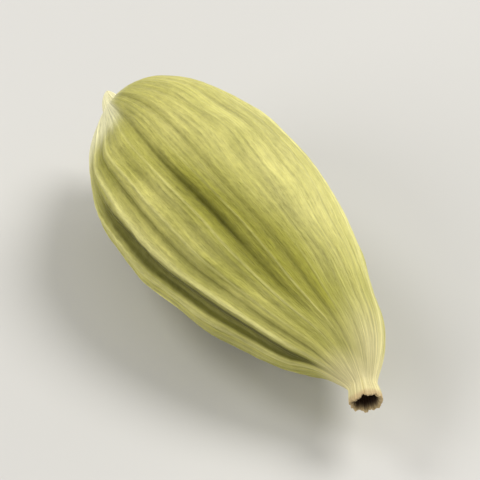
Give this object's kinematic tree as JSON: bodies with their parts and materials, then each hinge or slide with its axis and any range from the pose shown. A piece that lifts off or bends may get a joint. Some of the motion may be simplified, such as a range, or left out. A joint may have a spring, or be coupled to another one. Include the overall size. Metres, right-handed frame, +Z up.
{
  "type": "green cardamom pod",
  "caption": "Whole dried green cardamom pod lying on its side: a plump three-lobed ribbed husk with a pointed stalk remnant and a short hollow-ended beak.",
  "frame": {"origin": "on the resting surface, under the middle of the pod's box", "axes": "+X along the pod towards its beak, +Z up, -Y the side that faces the camera"},
  "size_m": [0.019, 0.008, 0.0072],
  "materials": {
    "husk": "matte, dry and papery, with a faint sheen on the ribs"
  },
  "bodies": {
    "root": {"pod": "husk"}
  },
  "joints": []
}
